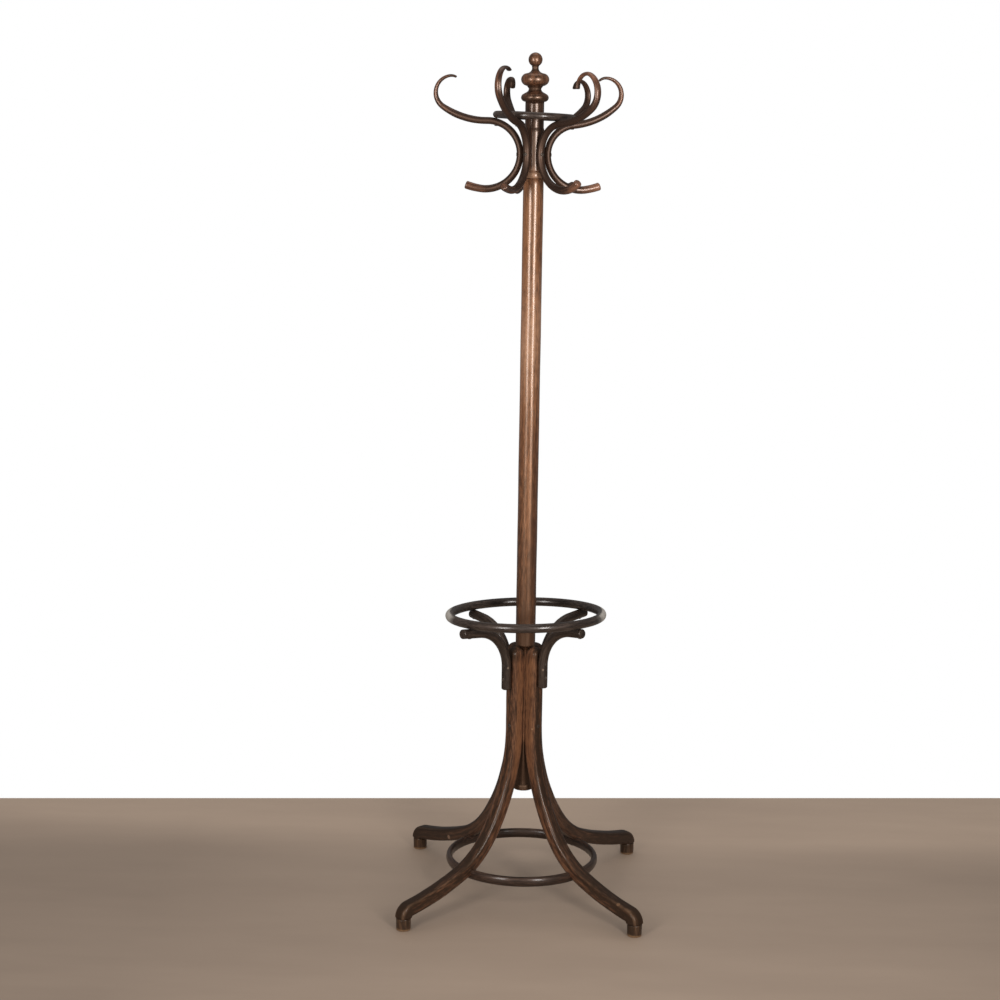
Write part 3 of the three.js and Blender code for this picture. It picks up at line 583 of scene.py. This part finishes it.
for count, (corner, azimuth) in enumerate(corner_azimuths.items()):
    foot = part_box(f"bracket_{corner}")[0].z
    arm = (arm_reach + overhangs[corner]) / math.cos(arm_slope)
    line = bent_line((bracket_radius, foot), 90, [
        (0, upright), (bracket_bend, bracket_slope - 90), (0, arm)])
    length = line[0][-1]
    stations, size = rounded_ends(length, (0.004, 0.3), (0.0028, 0.22), 110)
    reach = size[:, None] * (bracket_rod + waver(stations[:, None], angle, 30 + count, 0.0003))
    rows, grain = bent_rod(line, stations, reach * np.cos(angle), reach * np.sin(angle))
    to_end = (1 - stations / length)[:, None]
    rub = 0.12 + 0.3 * near(to_end, 0, 0.04) + 0.2 * near(to_end, 1, 0.08)
    fit(surface(f"bracket_{corner}_bent", turned_about(rows, azimuth),
                grain + np.array([0.2 * count, 0.7, 0]), rub, 0.4),
        bracket_finish, "stand", "dark_wood", f"bracket_{corner}")


# ------------------------------------------------------------------------------------------
# The umbrella ring: a 21 mm beech hoop that lies on the four brackets, a little higher at the
# front and the right, with a screw up through each bracket. Its sides at +X and -X are light
# grey: rubbed by hands, and a painted sheen as well.
# ------------------------------------------------------------------------------------------

umbrella_low, umbrella_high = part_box("umbrella_ring")
umbrella_height = (umbrella_low.z + umbrella_high.z) / 2
umbrella_finish = polished_wood("umbrella_ring_polish", (25, 19, 17), (42, 33, 28),
                                (64, 52, 45), (162, 155, 146), lustre=0.2, coat=0.6)
rows, grain, bearing, angle = hoop(umbrella_radius, umbrella_rod, umbrella_rod, 22)
# Wear and painted sheen: the outer half of the ring's sides at +X and -X is made light grey with
# the worn colour.
worn_and_sheen_side = np.abs(np.cos(bearing)) ** 12
fit(surface("umbrella_ring_hoop",
            sloped(rows, umbrella_slope, umbrella_side_slope, umbrella_height), grain,
            0.2 + 1.1 * worn_and_sheen_side * np.clip(0.4 + np.cos(angle), 0, 1), 0.35, endless=True),
    umbrella_finish, "stand", "dark_wood", "umbrella_ring")


# ------------------------------------------------------------------------------------------
# The crown's hub: a turned beech post that stands on the pole with a bead at the joint and
# revolves on a steel pin inside it. Above the hooks it narrows to a neck.
# ------------------------------------------------------------------------------------------

hub_low, hub_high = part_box("crown_hub")
hub_bottom = hub_low.z
hub_top = hub_high.z
hub_radius = 0.0236
hub_neck = 0.0215
hub_shoulder = 0.104                   # from the joint up to where the neck begins
hub_bead = 0.015                       # high
hub_groove = 0.0026                    # deep
hub_edge = 0.0024                      # the radius of the edge over the groove


def hub_profile():
    """The hub from the joint up: bead, groove, straight post, shoulder and neck."""
    groove = hub_bottom + hub_bead
    shoulder = hub_bottom + hub_shoulder
    rise = np.linspace(0, 1, 8)[1:]
    return flatten([
        (0, hub_bottom), (0.008, hub_bottom), (0.016, hub_bottom),
        (hub_radius - hub_groove, hub_bottom),
        arc((hub_radius - hub_groove, hub_bottom + hub_bead / 2),
            (1.3 * hub_groove, hub_bead / 2), -88, 88, 18),
        (hub_radius - hub_groove - 0.0006, groove + 0.0006),
        arc((hub_radius - hub_edge, groove + 0.0036), (hub_edge, hub_edge), -80, 0, 6),
        run((hub_radius, hub_radius), (groove + 0.006, shoulder), 14),
        np.stack([hub_radius + (hub_neck - hub_radius) * rise ** 1.5, shoulder + 0.01 * rise], -1),
        run((hub_neck, hub_neck), (shoulder + 0.012, hub_top), 14),
        (0.012, hub_top), (0, hub_top)])


hub_radii, hub_heights = hub_profile()
hub_rows = turned(hub_radii, hub_heights)
hub_finish = polished_wood("hub_polish", (34, 22, 16), (60, 39, 29), (104, 70, 50),
                           (158, 120, 94), lustre=0.5, coat=0.6, matt=0.28)
hub_foot = near(hub_heights, hub_bottom, 0.035)[:, None]
fit(surface("crown_hub_turning", hub_rows, hub_rows + np.array([0.5, 0, 0]),
            0.15 + 0.65 * hub_foot, 0.5 - 0.5 * hub_foot),
    hub_finish, "crown", "pole_wood", "crown_hub")


# ------------------------------------------------------------------------------------------
# The hooks: six beech rods, 17 mm wide and drawn out thin at the curls, each bent to an S and
# screwed through its waist to the hub. No two are bent quite alike, and some are rubbed barer
# than others at the lower end.
# ------------------------------------------------------------------------------------------

waist_depth = 0.0154
waist_radius = hub_radius + gap + waist_depth / 2
waist_height = hub_bottom + 0.054
crown_ring_radius = 0.087              # to the middle of the rod
crown_ring_rod = 0.008                 # the rod's own radius
crown_ring_rise = 0.086                # the ring's middle, over the waists
crown_ring_slope = 2.0                 # degrees, the ring's +X edge lower than the other

# The bends of a hook, each a radius and a turn in degrees: below the waist, and of the arm, the
# curl and its tip. The shoulder is only a turn, because its radius is fitted to the crown ring.
hook_lower = [(0.079, 98), (0.170, 12)]
hook_arm = (0.176, 35)
hooks = [
    {"azimuth": 0, "twist": 13, "shoulder": 84, "curl": (0.037, 139), "tip": (0.022, 47),
     "rubbed": 0.5},
    {"azimuth": 60, "twist": -8, "shoulder": 85, "curl": (0.035, 118), "tip": (0.022, 104)},
    {"azimuth": 120, "twist": -10, "shoulder": 77, "curl": (0.030, 131), "tip": (0.014, 130),
     "lower": [(0.084, 82)]},
    {"azimuth": 180, "twist": -1, "shoulder": 91, "curl": (0.038, 136), "tip": (0.023, 41)},
    {"azimuth": 240, "twist": 7, "shoulder": 78, "curl": (0.039, 145), "tip": (0.025, 30),
     "rubbed": 0.0},
    {"azimuth": 300, "twist": 12, "shoulder": 89, "curl": (0.042, 117), "tip": (0.029, 125),
     "lower": [(0.079, 98), (0.070, 36)], "rubbed": 0.45},
]

# Shares of a hook's length from its lower end, and its depth and its width there.
depth_stops = ((0, 0.34, 0.58, 0.72, 0.86, 1), (0.0184, 0.0154, 0.0162, 0.0162, 0.0104, 0.0054))
width_stops = ((0, 0.34, 0.8, 1), (0.0184, 0.017, 0.017, 0.0125))


def hook_line(hook, shoulder_radius):
    """From the lower end up through the waist, over the shoulder and arm, to the curl's tip."""
    lower = hook.get("lower", hook_lower)
    _, places, direction = bent_line((waist_radius, waist_height), -90, lower)
    upward = [(radius, -turn) for radius, turn in lower[::-1]]
    return bent_line(places[-1], math.degrees(direction[-1]) + 180, upward + [
        (shoulder_radius, -hook["shoulder"]), hook_arm, hook["curl"], hook["tip"]])


def planted(rows, hook):
    """Rows of a hook in its own upright plane, turned on its waist screw and set on the hub."""
    reach = rows - np.array([waist_radius, 0, 0])
    placed = turned_about(reach, hook["twist"]) + np.array([waist_radius, 0, 0])
    return turned_about(placed, hook["azimuth"])


def ring_gap(hook, line):
    """How far a hook's arm is under the crown ring, less the clearance between them."""
    along, places, direction = line
    rows = planted(np.stack([places[:, 0], 0 * along, places[:, 1]], -1), hook)
    beyond = (np.hypot(rows[:, 0], rows[:, 1]) > crown_ring_radius) & (rows[:, 2] > waist_height)
    first = np.argmax(beyond)
    half = np.interp(along[first] / along[-1], *depth_stops) / 2 / math.cos(direction[first])
    fall = rows[first, 0] * math.tan(math.radians(crown_ring_slope))
    ring_middle = waist_height + crown_ring_rise - fall
    return ring_middle - crown_ring_rod - gap - rows[first, 2] - half


def fitted_line(hook):
    """The hook with its shoulder bent on the radius that brings its arm up under the ring. The
    radius is found by halving the range that it lies in."""
    small, large = 0.2 * crown_ring_rise, 2 * crown_ring_rise
    for _ in range(30):
        middle = (small + large) / 2
        if ring_gap(hook, hook_line(hook, middle)) < 0:
            large = middle
        else:
            small = middle
    return hook_line(hook, small)


hook_finish = polished_wood("hook_polish", (26, 17, 14), (54, 34, 26), (108, 68, 48),
                            (150, 104, 80), lustre=0.6, coat=0.45, matt=0.3)
angle = ring_angles(40)
for count, hook in enumerate(hooks):
    line = fitted_line(hook)
    length = line[0][-1]
    stations, size = rounded_ends(length, (0.004, 0.4), (0.0022, 0.75), 260)
    part = (stations / length)[:, None]
    uneven = 1 + waver(stations[:, None], angle, 50 + count, 0.0003) / 0.008
    half_width = np.interp(part, *width_stops) / 2 * size[:, None] * uneven
    half_depth = np.interp(part, *depth_stops) / 2 * size[:, None] * uneven
    rows, grain = bent_rod(line, stations, half_width * np.cos(angle), half_depth * np.sin(angle))
    end = near(part, 0, 0.16)
    curl = np.clip((part - 0.62) / 0.2, 0, 1)
    tip = near(part, 1, 0.03)
    # Painted shade: hooks towards the back, at +Y, are made darker through their darkness values.
    away = max(0, math.sin(math.radians(hook["azimuth"])))
    rub = 0.15 + hook.get("rubbed", 0.3) * end + 0.3 * curl - 0.4 * tip
    grime_and_shade = 1.3 - 1.2 * end - 1.1 * curl + 1.2 * tip + 0.6 * away
    fit(surface(f"hook_{count + 1}_bent", planted(rows, hook),
                grain + np.array([0.2 * count, 0.9, 0]), rub, grime_and_shade),
        hook_finish, "crown", "hook_wood", f"hook_{count + 1}")


# ------------------------------------------------------------------------------------------
# The crown ring: a 16 mm beech hoop that lies across the six arms and ties them together, with
# a screw up through each arm. It is polished as dark as the umbrella ring.
# ------------------------------------------------------------------------------------------

rows, grain, bearing, angle = hoop(crown_ring_radius, crown_ring_rod, crown_ring_rod, 23, 220)
rows = sloped(rows, 0, -crown_ring_slope, waist_height + crown_ring_rise)
fit(surface("crown_ring_hoop", rows, grain, 0.25, 0.1, endless=True),
    umbrella_finish, "crown", "dark_wood", "crown_ring")


# ------------------------------------------------------------------------------------------
# The finial: one beech turning, glued into the hub by a spigot. A flange, a cove, a bulb and a
# neck rise to a ball, the part that hands and hats touch most.
# ------------------------------------------------------------------------------------------

finial_foot = hub_top + gap
finial_flange = (0.0315, 0.0102)       # radius and height over the foot, as of the next three
finial_cove = (0.0142, 0.030)
finial_bulb = (0.032, 0.0505)
finial_neck = (0.0074, 0.076)
ball_radius = 0.016
ball_height = 0.0947


def finial_profile():
    """The finial from its spigot up. The flange and the bulb swell out on oval arcs, and the
    cove and the neck go in on hollow ones. The four pairs are the arcs' sizes, out and up."""
    flange, cove, bulb, neck = (0.011, 0.0096), (0.012, 0.0095), (0.016, 0.0145), (0.015, 0.012)
    return flatten([
        (0, -0.028), (0.004, -0.028), (0.007, -0.028), (0.007, 0), (0.015, 0), (0.0205, 0),
        arc((0.0212, 0.0012), (0.0012, 0.0012), -90, 0, 4),
        arc((finial_flange[0] - flange[0], finial_flange[1]), flange, -72, 62, 26),
        arc((finial_cove[0] + cove[0], finial_cove[1]), cove, 238, 178, 16),
        arc((finial_bulb[0] - bulb[0], finial_bulb[1]), bulb, -80, 62, 32),
        arc((finial_neck[0] + neck[0], finial_neck[1]), neck, 244, 180, 16),
        arc((0, ball_height), (ball_radius, ball_radius), -60, 90, 34)])


finial_radii, finial_heights = finial_profile()
finial_rows = turned(finial_radii, finial_foot + finial_heights)
# The cove, the neck and the foot at the flange are made darker and less rubbed.
hollow = (near(finial_heights, finial_cove[1], 0.006)
          + near(finial_heights, finial_neck[1], 0.006)
          + 0.6 * near(finial_heights, 0, 0.014))[:, None]
finial_finish = polished_wood("finial_polish", (34, 21, 14), (68, 42, 28), (116, 74, 50),
                              (152, 112, 82), lustre=0.8, coat=0.45, matt=0.28)
fit(surface("finial_turning", finial_rows, finial_rows + np.array([0.7, 0, 0]),
            0.3 - 0.3 * hollow, 0.2 + 1.4 * hollow),
    finial_finish, "crown", "pole_wood", "finial")


# ------------------------------------------------------------------------------------------
# The screws: thirty-two old iron wood screws with raised, slotted heads, gone dark, and the
# steel pin that the crown turns on, which stays out of sight inside the pole and the hub.
# ------------------------------------------------------------------------------------------

def old_iron(name):
    """Darkened iron: brown-black with lighter rubbed spots, rough where rust has set in."""
    material, wire = bare_material(name)
    place = wire.make("ShaderNodeTexCoord", output="Object")
    rust = place.stretched((900, 900, 900), 4, 0.6).within(0.42, 0.62)
    pitted = place.stretched((3000, 3000, 3000), 2, 0.5)
    normal = wire.make("ShaderNodeBump", {}, {
        "Strength": 0.3, "Distance": 0.0002, "Height": pitted + rust * 0.5}, "Normal")
    shine = wire.make("ShaderNodeBsdfPrincipled", {}, {
        "Base Color": rust.mix((*tint(92, 84, 76), 1), (*tint(58, 40, 30), 1)),
        "Metallic": 0.9 - rust * 0.6,
        "Roughness": 0.38 + rust * 0.3,
        "Normal": normal}, "BSDF")
    wire.make("ShaderNodeOutputMaterial", {}, {"Surface": shine})
    return material


screw_shank = 0.002                    # radius
screw_head = 0.0046                    # radius
screw_head_depth = 0.0026
screw_dome = 0.0013                    # the dome's rise over the head's edge
slot_half = 0.0006
slot_depth = 0.0011
dome_points = 14


def screw_rows(length, turn):
    """A wood screw with its dome's top at the origin and its axis down -Z. The dome's slot is
    the band within slot_half of a line through the middle, sunk by slot_depth."""
    dome = np.linspace(0, math.pi / 2, dome_points)
    radius, height = flatten([
        np.stack([screw_head * np.sin(dome), screw_dome * (np.cos(dome) - 1)], -1),
        (screw_head * 0.985, -screw_dome - 0.0002),
        (screw_shank, -screw_dome - screw_head_depth),
        (screw_shank, -length + screw_shank), (0, -length)])
    rows = turned(radius, height, 48)
    across = rows[..., 0] * math.cos(turn) + rows[..., 1] * math.sin(turn)
    slot = np.clip((slot_half - np.abs(across)) / 0.0002 + 0.5, 0, 1)
    on_top = np.arange(len(radius))[:, None] < dome_points - 1
    rows[..., 2] -= slot_depth * slot * on_top
    return rows


def screw(node, outward, seed):
    """Stands for a solid screw: its dome's top and its point are that solid's ends along the
    way out through the head. The seed turns its slot."""
    body = "crown" if node.startswith(("hook", "crown")) else "stand"
    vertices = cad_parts[node].data.vertices
    corners = np.empty(3 * len(vertices), np.float32)
    vertices.foreach_get("co", corners)
    corners = corners.reshape(-1, 3).astype(float)
    outward = np.asarray(outward, float)
    top = corners[np.argmax(corners @ outward)]
    point = corners[np.argmin(corners @ outward)]
    rows = screw_rows(np.linalg.norm(top - point), 2.4 * seed)
    side = np.cross([0.3, 0.2, 1.0] if abs(outward[2]) < 0.5 else [1.0, 0, 0], outward)
    side /= np.linalg.norm(side)
    axes = np.stack([side, np.cross(outward, side), outward])
    placed = rows @ axes + top
    fit(surface(f"{node}_iron", placed, rows, 0, 0), iron, body, "steel", node)


iron = old_iron("screw_iron")
down = (0, 0, -1)
for count, (corner, azimuth) in enumerate(corner_azimuths.items()):
    outward = (math.cos(math.radians(azimuth)), math.sin(math.radians(azimuth)), 0)
    screw(f"leg_screw_{corner}", outward, count)
    screw(f"bracket_lower_screw_{corner}", outward, 10 + count)
    screw(f"bracket_upper_screw_{corner}", outward, 20 + count)
    screw(f"base_ring_screw_{corner}", down, 30 + count)
    screw(f"umbrella_ring_screw_{corner}", down, 40 + count)
for count, hook in enumerate(hooks):
    azimuth = math.radians(hook["azimuth"])
    screw(f"hook_screw_{count + 1}", (math.cos(azimuth), math.sin(azimuth), 0), 50 + count)
    screw(f"crown_ring_screw_{count + 1}", down, 60 + count)

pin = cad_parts["pivot_pin"]
for material_slot in pin.material_slots:
    material_slot.material = iron


# ------------------------------------------------------------------------------------------
# The room: a plain pale floor that ends where a white wall would stand, two tall soft lights
# at the front, a weak one overhead, and the camera.
# ------------------------------------------------------------------------------------------

def floor():
    """A flat floor, plain and pale, up to the foot of the wall. Its colour has painted light
    near the wall and painted shade to the front and to the sides."""
    wall = 0.674                       # from the pole back to the foot of the wall
    wall_skew = 0.0743                 # how much further that is for each metre to the right
    side, front = 2.6, -1.3
    brightest = 0.25                   # how far to the right of the pole it is lightest
    mesh = bpy.data.meshes.new("floor")
    mesh.from_pydata([(-side, front, 0), (side, front, 0), (side, wall + side * wall_skew, 0),
                      (-side, wall - side * wall_skew, 0)], [], [(0, 1, 2, 3)])
    plain, wire = bare_material("floor_plain")
    place = wire.make("ShaderNodeTexCoord", output="Object")
    cloud = place.stretched((1.3, 6, 1), 4, 0.6)
    aside = wire.make("ShaderNodeSeparateXYZ", {}, {0: place}, "X") - brightest
    # Painted light and shade: the floor is made lighter near the wall, and painted shade darkens
    # it towards the front and the sides.
    back = wire.make("ShaderNodeSeparateXYZ", {}, {0: place}, "Y").within(0.1, 0.65)
    painted_side_shade = aside.maths("MINIMUM", aside * aside, 1.3)
    pale = cloud.mix((*tint(143, 123, 106), 1), (*tint(162, 141, 122), 1))
    shine = wire.make("ShaderNodeBsdfPrincipled", {}, {
        "Base Color": (0.8 + back * 0.48 - painted_side_shade * 0.12).mix((0, 0, 0, 1), pale),
        "Roughness": 0.6}, "BSDF")
    wire.make("ShaderNodeOutputMaterial", {}, {"Surface": shine})
    piece = bpy.data.objects.new("floor", mesh)
    bpy.context.scene.collection.objects.link(piece)
    piece.data.materials.append(plain)


def soft_light(name, place, target, width, height, power):
    """A rectangular lamp at place, turned to face target."""
    lamp = bpy.data.lights.new(name, "AREA")
    lamp.shape = "RECTANGLE"
    lamp.size = width
    lamp.size_y = height
    lamp.energy = power
    holder = bpy.data.objects.new(name, lamp)
    holder.location = place
    way = np.asarray(target, float) - np.asarray(place, float)
    heading = math.atan2(way[0], way[1])
    pitch = math.atan2(way[2], math.hypot(way[0], way[1]))
    holder.rotation_euler = (math.pi / 2 + pitch, 0, -heading)
    holder.visible_camera = False
    bpy.context.scene.collection.objects.link(holder)


def studio_air():
    """White where the camera looks past the floor. As light it is dimmer: brightest from
    overhead, and dimmest at the front, where the studio is dark behind the camera."""
    world = bpy.data.worlds.new("studio")
    bpy.context.scene.world = world
    world.use_nodes = True
    world.node_tree.nodes.clear()
    wire = Wire(world.node_tree)
    seen = wire.make("ShaderNodeLightPath", output="Is Camera Ray")
    through = wire.make("ShaderNodeLightPath", output="Is Transmission Ray")
    mirrored = wire.make("ShaderNodeLightPath", output="Is Glossy Ray")
    way = wire.make("ShaderNodeTexCoord", output="Generated")
    depth = wire.make("ShaderNodeSeparateXYZ", {}, {0: way}, "Y")
    behind = depth.within(-0.25, 0.45)
    shown = seen.maths("MAXIMUM", seen, through)
    overhead = wire.make("ShaderNodeSeparateXYZ", {}, {0: way}, "Z").within(0.2, 1.0)
    reflected = 0.05 + behind * 0.1
    ambient = 0.15 + overhead * 0.9 + behind * 0.25
    light = mirrored * reflected + (1 - mirrored) * ambient
    level = shown + (1 - shown) * light
    background = wire.make("ShaderNodeBackground", {}, {
        "Color": (1, 1, 1, 1), "Strength": level}, "Background")
    wire.make("ShaderNodeOutputWorld", {}, {"Surface": background})


def camera():
    """At eye height, looking a little down at the stand from the front, and tipped a little to
    one side."""
    place = (0.0657, -4.4850, 1.7823)
    pitch, bearing, roll = (math.radians(value) for value in (10.293, 1.68, 0.85))
    eye = bpy.data.cameras.new("camera")
    eye.sensor_width = 36
    eye.lens = 69.48
    holder = bpy.data.objects.new("camera", eye)
    bpy.context.scene.collection.objects.link(holder)
    holder.matrix_world = (Matrix.Translation(place)
                           @ Matrix.Rotation(bearing, 4, "Z")
                           @ Matrix.Rotation(math.pi / 2 - pitch, 4, "X")
                           @ Matrix.Rotation(roll, 4, "Z"))
    bpy.context.scene.camera = holder


floor()
soft_light("front_right_window", (1.40, -2.88, 1.66), (0, 0, 1.3), 0.6, 1.8, 72)
soft_light("front_left_window", (-1.65, -2.75, 1.70), (0, 0, 1.3), 0.8, 1.8, 58)
soft_light("overhead", (0.0, 0.3, 3.8), (0, 0, 0), 1.6, 1.6, 4)
studio_air()
camera()
bpy.context.scene.view_settings.view_transform = "Standard"
